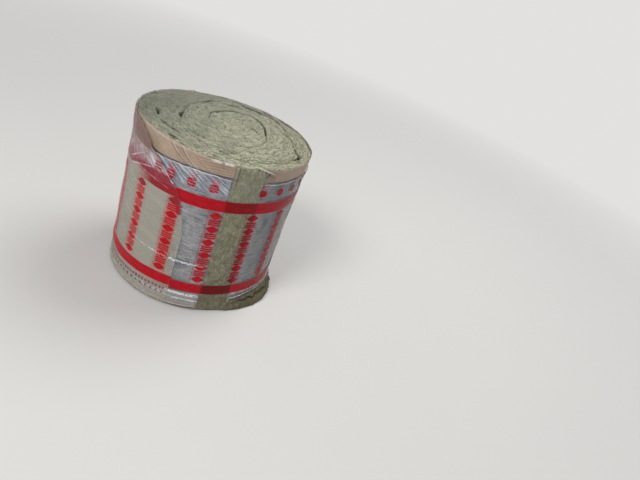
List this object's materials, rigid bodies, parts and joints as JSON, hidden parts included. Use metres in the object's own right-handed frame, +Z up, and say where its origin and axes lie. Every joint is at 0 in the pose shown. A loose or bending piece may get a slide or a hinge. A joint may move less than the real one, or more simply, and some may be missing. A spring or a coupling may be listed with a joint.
{
  "type": "insulation roll",
  "caption": "Wound roll of stone wool insulation standing on its end, with aluminium facing, kraft paper flanges and a printed clear film sleeve.",
  "frame": {"origin": "centre of the lower end, where the roll stands on the floor", "axes": "+Z up along the axis of the roll; -Y is the front, a little left of the bare strip where the mat ends; +X is to the right"},
  "size_m": [0.4605, 0.46, 0.45],
  "materials": {
    "wool": "matte",
    "foil": "satin",
    "kraft": "matte",
    "film": "gloss"
  },
  "bodies": {
    "root": {"wool_roll": "wool", "foil_facing": "foil", "upper_flange": "kraft", "lower_flange": "kraft", "film_wrap": "film"}
  },
  "joints": []
}
